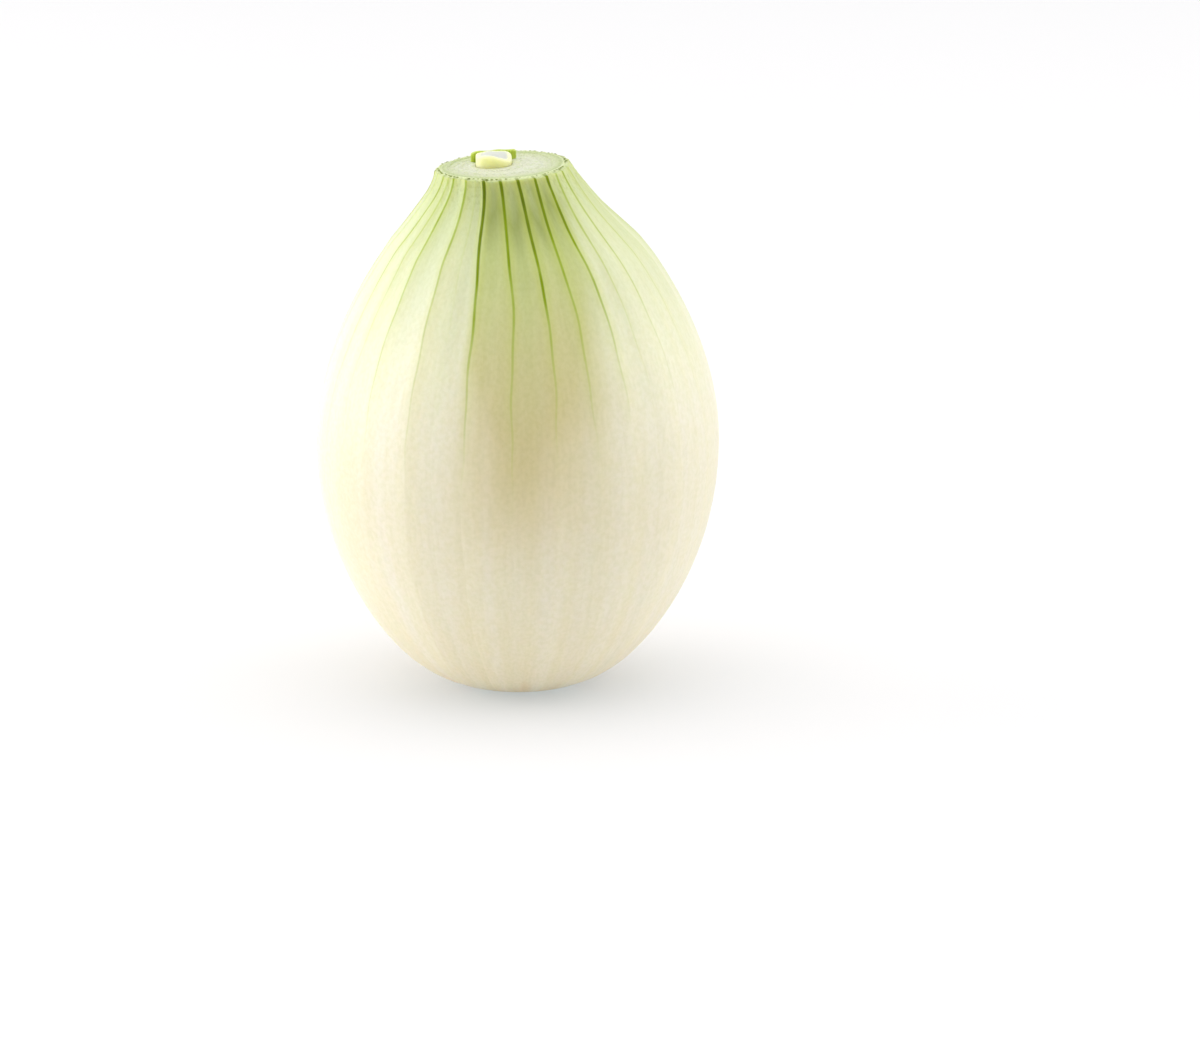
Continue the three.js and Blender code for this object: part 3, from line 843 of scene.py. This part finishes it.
sized = add(tree, "FunctionNodeRandomValue", {"Min": 0.5, "Max": 1.0, "Seed": given["Seed"]})
flat = add(tree, "ShaderNodeMath", [sized, given["Flatness"]], operation="MULTIPLY")
scale = add(tree, "ShaderNodeCombineXYZ", [sized, sized, flat])
shape = add(tree, "GeometryNodeInstanceOnPoints", {"Points": dots, "Instance": bead, "Scale": scale})
shape = add(tree, "GeometryNodeTransform", {"Geometry": shape, "Translation": given["Centre"]})
shape = add(tree, "GeometryNodeRealizeInstances", [shape])
shape = add(tree, "GeometryNodeSetMaterial", {"Geometry": shape, "Material": given["Finish"]})
add(tree, "NodeGroupOutput", [shape])
print(tree.name, len(tree.nodes), "nodes,", len(ring_inputs), "inputs")

# %% Grow the vein ends
vein_ends = grow("cut_vein_ends", tree, ring_inputs, {
    "Count": 84, "Radius": 9.25 * MM, "Scatter": 0.45 * MM, "Bead": 0.24 * MM, "Flatness": 0.35,
    "Centre": (-NECK_LEAN * MM, 0, (CUT_HEIGHT - 0.04) * MM), "Slope": math.tan(CUT_TILT),
    "Twist": CUT_TWIST / MM, "Seed": 5, "Finish": vein_end_tissue,
})

# %% [markdown]
# ## Root stubs
# The roots grew from the underside in rings, and the knife left a stub of each, under a millimetre long and
# flush with the cut that the bulb stands on. The same tree makes them, as longer beads in the dish of the
# root plate.

# %% Root stubs
stub_rings = []
for k, (count, radius) in enumerate(((26, 6.4), (20, 4.9), (13, 3.3), (6, 1.6))):
    stub_rings.append(grow("root_ring", tree, ring_inputs, {
        "Count": count, "Radius": radius * MM, "Scatter": 0.7 * MM, "Bead": 0.55 * MM, "Flatness": 1.2,
        "Centre": (0, 0, 0.72 * MM), "Slope": 0.0, "Twist": 0.0, "Seed": 20 + k, "Finish": plate,
    }))
with bpy.context.temp_override(active_object=stub_rings[0], selected_editable_objects=stub_rings):
    bpy.ops.object.join()
root_stubs = stub_rings[0]
root_stubs.name = root_stubs.data.name = "root_stubs"
print("root stubs:", len(root_stubs.data.polygons), "faces")

# %% [markdown]
# ## Bind the pieces to the frame
# The part has no joint, so every piece rides on the one body, root. The detailed bulb and leaf stubs stand
# for the plain solids, which stay in the physics model and aren't shown.

# %% Bind the pieces
for piece, slot_name in ((bulb, "onion_skin"), (vein_ends, "onion_skin"), (root_stubs, "onion_skin"),
                         (pale_leaf, "pale_leaf"), (green_leaf, "green_leaf")):
    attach(piece, "root")
    print(piece.name, "rides root, slot", slot_name)
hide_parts("bulb")
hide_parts("pale_inner_leaf")
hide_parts("green_inner_leaf")

# %% [markdown]
# ## Table, tent and lights
# The bulb stands on a white table in a white light tent: light comes from everywhere except the opening that
# the camera looks through. That is why the sides of the bulb are almost white and its front is the darkest
# and the most coloured. The world is the tent, dimmer towards the front, and three softboxes add to it.
# The table is backlit too: cool light comes up through it, and a slightly warm base balances it to white.

# %% Table
floor_finish, tree = new_material("white_table")
place = add(tree, "ShaderNodeTexCoord").outputs["Object"]
tooth = add(tree, "ShaderNodeTexNoise", {"Vector": place, "Scale": 1.2 / MM})
relief = add(tree, "ShaderNodeBump", {"Strength": 0.05, "Distance": 0.0001, "Height": tooth})
shader = add(tree, "ShaderNodeBsdfPrincipled", {
    "Base Color": linear("#C6BDB8"), "Roughness": 0.8, "Specular IOR Level": 0.2, "Normal": relief,
    "Emission Color": (0.73, 0.89, 1.0, 1), "Emission Strength": 0.38,
})
add(tree, "ShaderNodeOutputMaterial", {"Surface": shader})
FLOOR_HALF = 4000.0
floor = make_object("table", [(-FLOOR_HALF, -FLOOR_HALF, 0), (FLOOR_HALF, -FLOOR_HALF, 0),
                              (FLOOR_HALF, FLOOR_HALF, 0), (-FLOOR_HALF, FLOOR_HALF, 0)],
                    [(0, 1, 2, 3)], {}, [floor_finish])
print(floor_finish.name, len(tree.nodes), "nodes")

# %% Tent and softboxes
world = bpy.data.worlds.new("light_tent")
bpy.context.scene.world = world
world.use_nodes = True
tree = world.node_tree
tree.nodes.clear()
direction = add(tree, "ShaderNodeTexCoord").outputs["Generated"]
opening = add(tree, "ShaderNodeVectorMath", [direction, (0.12, -0.98, 0.1)], operation="DOT_PRODUCT")
brightness = add(
    tree, "ShaderNodeMapRange", [opening, 0.38, 0.95, 0.96, 0.22], interpolation_type="SMOOTHSTEP")
tent = add(tree, "ShaderNodeBackground", {"Color": (1, 1, 1, 1), "Strength": brightness})
add(tree, "ShaderNodeOutputWorld", {"Surface": tent})


def softbox(name, place, aim, size, power):
    light = bpy.data.lights.new(name, "AREA")
    light.shape = "RECTANGLE"
    light.size, light.size_y = size
    light.energy = power
    made = bpy.data.objects.new(name, light)
    made.location = place
    made.rotation_euler = (Vector(aim) - Vector(place)).to_track_quat("-Z", "Y").to_euler()
    bpy.context.scene.collection.objects.link(made)
    print(name, power, "W")


MIDDLE = (0, 0, 0.04)
softbox("left_softbox", (-0.7, 0.15, 0.2), MIDDLE, (0.7, 0.4), 2.6)
softbox("right_softbox", (0.7, 0.15, 0.35), MIDDLE, (0.7, 0.7), 1.4)
softbox("top_softbox", (0.0, -0.05, 1.0), MIDDLE, (1.1, 1.1), 4.5)

# %% [markdown]
# ## Camera
# A long lens from 1 m away, 15.6 degrees above the table, keeps the upright bulb free of perspective. The
# bulb stands a little left of the middle of the picture and above it.

# %% Camera
LENS, SENSOR = 200.0, 36.0
ELEVATION = math.radians(15.6)
PICTURE_WIDTH = 0.1783  # metres across the picture, at the bulb
ASIDE, BELOW = 0.01218, 0.01204  # how far the camera stands to the right of its aim and below it
aim = Vector((0, 0, 0.0365))
forward = Vector((0, math.cos(ELEVATION), -math.sin(ELEVATION)))
up = Vector((0, math.sin(ELEVATION), math.cos(ELEVATION)))
camera_data = bpy.data.cameras.new("camera")
camera_data.lens, camera_data.sensor_width = LENS, SENSOR
camera = bpy.data.objects.new("camera", camera_data)
distance = PICTURE_WIDTH * LENS / SENSOR
camera.location = aim - forward * distance + Vector((ASIDE, 0, 0)) - up * BELOW
camera.rotation_euler = forward.to_track_quat("-Z", "Y").to_euler()
bpy.context.scene.collection.objects.link(camera)
bpy.context.scene.camera = camera
bpy.context.scene.view_settings.view_transform = "Standard"
print("camera", round(distance, 2), "m away,", LENS, "mm lens")
